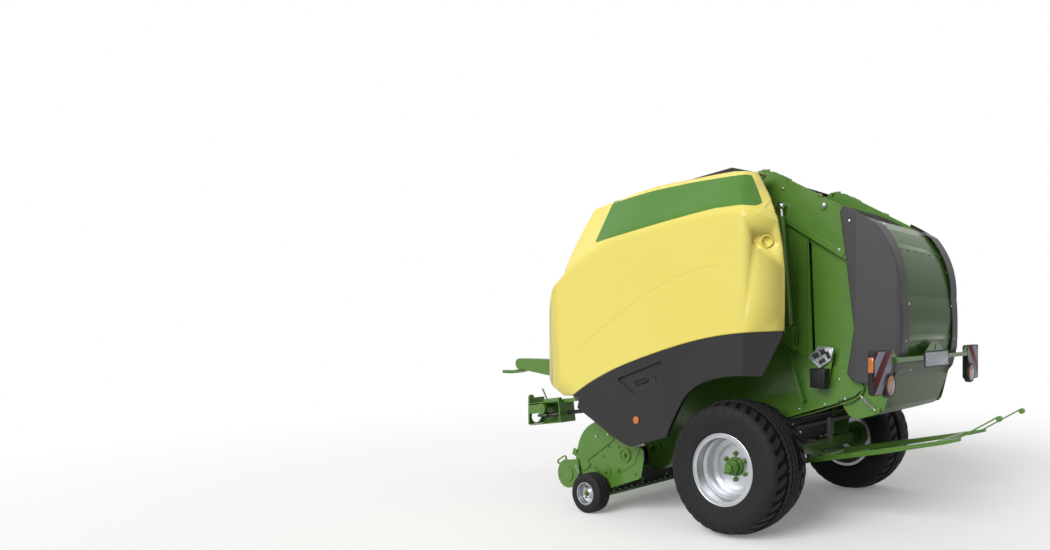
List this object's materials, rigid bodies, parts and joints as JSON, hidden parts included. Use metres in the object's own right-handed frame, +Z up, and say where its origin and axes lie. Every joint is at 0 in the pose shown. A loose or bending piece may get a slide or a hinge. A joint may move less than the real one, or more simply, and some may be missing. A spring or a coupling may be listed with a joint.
{
  "type": "round baler",
  "caption": "Towed variable-chamber round baler with side hoods, opening tailgate, lifting pickup with crop roller, bale ejector, driveline, jack and single axle.",
  "frame": {"origin": "on the ground under the middle of the bounding box", "axes": "+X to the rear, +Y to the machine's right, +Z up"},
  "size_m": [5.934, 2.58, 2.976],
  "materials": {
    "tyre": "matt black rubber",
    "rim_silver": "silver paint",
    "green": "green gloss paint",
    "iron": "dark cast iron",
    "black_plastic": "black plastic",
    "steel": "bright steel",
    "chrome": "hard chrome",
    "yellow": "yellow gloss paint",
    "hood_grey": "dark grey",
    "cover_grey": "dark grey moulding",
    "belt": "ribbed rubber",
    "plate": "blank plate"
  },
  "bodies": {
    "chassis": {"axle_beam": "green", "left_front_wall": "green", "right_front_wall": "green", "cross_members": "green", "drawbar": "green", "hitch_tongue": "green", "gearbox": "iron", "drive_tube": "black_plastic", "driveline_box": "green", "jack_mount": "green", "roof_cover": "black_plastic", "net_box": "green", "front_belts": "belt", "front_rollers": "iron", "chamber_floor": "green", "chock_holder": "green", "wheel_chock": "black_plastic"},
    "left_wheel": {"left_tyre": "tyre", "left_rim": "rim_silver", "left_hub": "green"},
    "right_wheel": {"right_tyre": "tyre", "right_rim": "rim_silver", "right_hub": "green"},
    "pto_input": {"pto_shaft": "steel"},
    "jack": {"jack_leg": "green"},
    "net_lid": {"front_cover": "black_plastic"},
    "left_hood": {"left_hood_upper": "yellow", "left_hood_lower": "hood_grey"},
    "right_hood": {"right_hood_upper": "yellow", "right_hood_lower": "hood_grey"},
    "tailgate": {"left_tailgate_wall": "green", "right_tailgate_wall": "green", "left_tailgate_arm": "green", "right_tailgate_arm": "green", "rear_panel": "green", "left_tail_cover": "cover_grey", "right_tail_cover": "cover_grey", "light_bar": "green", "left_light_unit": "black_plastic", "right_light_unit": "black_plastic", "number_plate": "plate", "tailgate_belts": "belt", "tailgate_rollers": "iron"},
    "rotor": {"feed_rotor": "green"},
    "left_barrel": {"left_cylinder_barrel": "green"},
    "right_barrel": {"right_cylinder_barrel": "green"},
    "left_rod": {"left_cylinder_rod": "chrome"},
    "right_rod": {"right_cylinder_rod": "chrome"},
    "pickup": {"pickup_frame": "green", "left_pickup_side": "green", "right_pickup_side": "green"},
    "reel": {"pickup_reel": "green"},
    "crop_press": {"crop_guard": "green"},
    "left_gauge": {"left_gauge_wheel": "tyre"},
    "right_gauge": {"right_gauge_wheel": "tyre"},
    "bale_ejector": {"ejector": "green"}
  },
  "joints": [
    {"name": "left_wheel_spin", "type": "hinge", "parent": "chassis", "child": "left_wheel", "pos_m": [1.11, -1.042, 0.529], "axis": [0, 1, 0], "continuous": true},
    {"name": "right_wheel_spin", "type": "hinge", "parent": "chassis", "child": "right_wheel", "pos_m": [1.11, 1.042, 0.529], "axis": [0, 1, 0], "continuous": true},
    {"name": "pto_spin", "type": "hinge", "parent": "chassis", "child": "pto_input", "pos_m": [-2.31, 0, 0.61787], "axis": [0.9914, 0, 0.1305], "continuous": true},
    {"name": "jack_swing", "type": "hinge", "parent": "chassis", "child": "jack", "pos_m": [-1.355, 0.215, 1.15], "axis": [0, 1, 0], "range_deg": [0, 90]},
    {"name": "net_lid_open", "type": "hinge", "parent": "chassis", "child": "net_lid", "pos_m": [-0.47, 0, 2.728], "axis": [0, 1, 0], "range_deg": [0, 70]},
    {"name": "left_hood_open", "type": "hinge", "parent": "chassis", "child": "left_hood", "pos_m": [0.21, -0.745, 2.808], "axis": [-0.9959, 0, -0.0906], "range_deg": [0, 80]},
    {"name": "right_hood_open", "type": "hinge", "parent": "chassis", "child": "right_hood", "pos_m": [0.21, 0.745, 2.808], "axis": [0.9959, 0, 0.0906], "range_deg": [0, 80]},
    {"name": "tailgate_open", "type": "hinge", "parent": "chassis", "child": "tailgate", "pos_m": [1.098, 0, 2.89], "axis": [0, -1, 0], "range_deg": [0, 60]},
    {"name": "rotor_spin", "type": "hinge", "parent": "chassis", "child": "rotor", "pos_m": [-0.067, 0, 0.515], "axis": [0, 1, 0], "continuous": true},
    {"name": "left_cylinder_swing", "type": "hinge", "parent": "chassis", "child": "left_barrel", "pos_m": [1.395, -0.716, 1.6], "axis": [0, 1, 0], "range_deg": [0, 7.58]},
    {"name": "left_cylinder_stroke", "type": "slide", "parent": "left_barrel", "child": "left_rod", "axis": [-0.0936, 0, 0.9956], "range_m": [0, 0.3143]},
    {"name": "right_cylinder_swing", "type": "hinge", "parent": "chassis", "child": "right_barrel", "pos_m": [1.395, 0.716, 1.6], "axis": [0, 1, 0], "range_deg": [0, 7.58]},
    {"name": "right_cylinder_stroke", "type": "slide", "parent": "right_barrel", "child": "right_rod", "axis": [-0.0936, 0, 0.9956], "range_m": [0, 0.3143]},
    {"name": "pickup_lift", "type": "hinge", "parent": "chassis", "child": "pickup", "pos_m": [-0.067, 0, 0.515], "axis": [0, 1, 0], "range_deg": [0, 14]},
    {"name": "reel_spin", "type": "hinge", "parent": "pickup", "child": "reel", "pos_m": [-0.42, 0, 0.33], "axis": [0, 1, 0], "continuous": true},
    {"name": "crop_guard_lift", "type": "hinge", "parent": "pickup", "child": "crop_press", "pos_m": [-0.633, 0, 0.397], "axis": [0, 1, 0], "range_deg": [0, 25]},
    {"name": "left_gauge_spin", "type": "hinge", "parent": "pickup", "child": "left_gauge", "pos_m": [-0.37, -1.176, 0.173], "axis": [0, 1, 0], "continuous": true},
    {"name": "right_gauge_spin", "type": "hinge", "parent": "pickup", "child": "right_gauge", "pos_m": [-0.37, 1.176, 0.173], "axis": [0, 1, 0], "continuous": true},
    {"name": "ejector_tip", "type": "hinge", "parent": "chassis", "child": "bale_ejector", "pos_m": [1.05, 0, 0.424], "axis": [0, -1, 0], "range_deg": [-24, 0], "stiffness_Nm_per_rad": 2500, "springref_deg": 28.65}
  ],
  "couplings": [
    {"joint": "left_cylinder_swing", "follows": "tailgate_open", "ratio": 0.12305},
    {"joint": "left_cylinder_stroke", "follows": "tailgate_open", "m_per_rad": 0.29726},
    {"joint": "right_cylinder_swing", "follows": "tailgate_open", "ratio": 0.12305},
    {"joint": "right_cylinder_stroke", "follows": "tailgate_open", "m_per_rad": 0.29726}
  ]
}
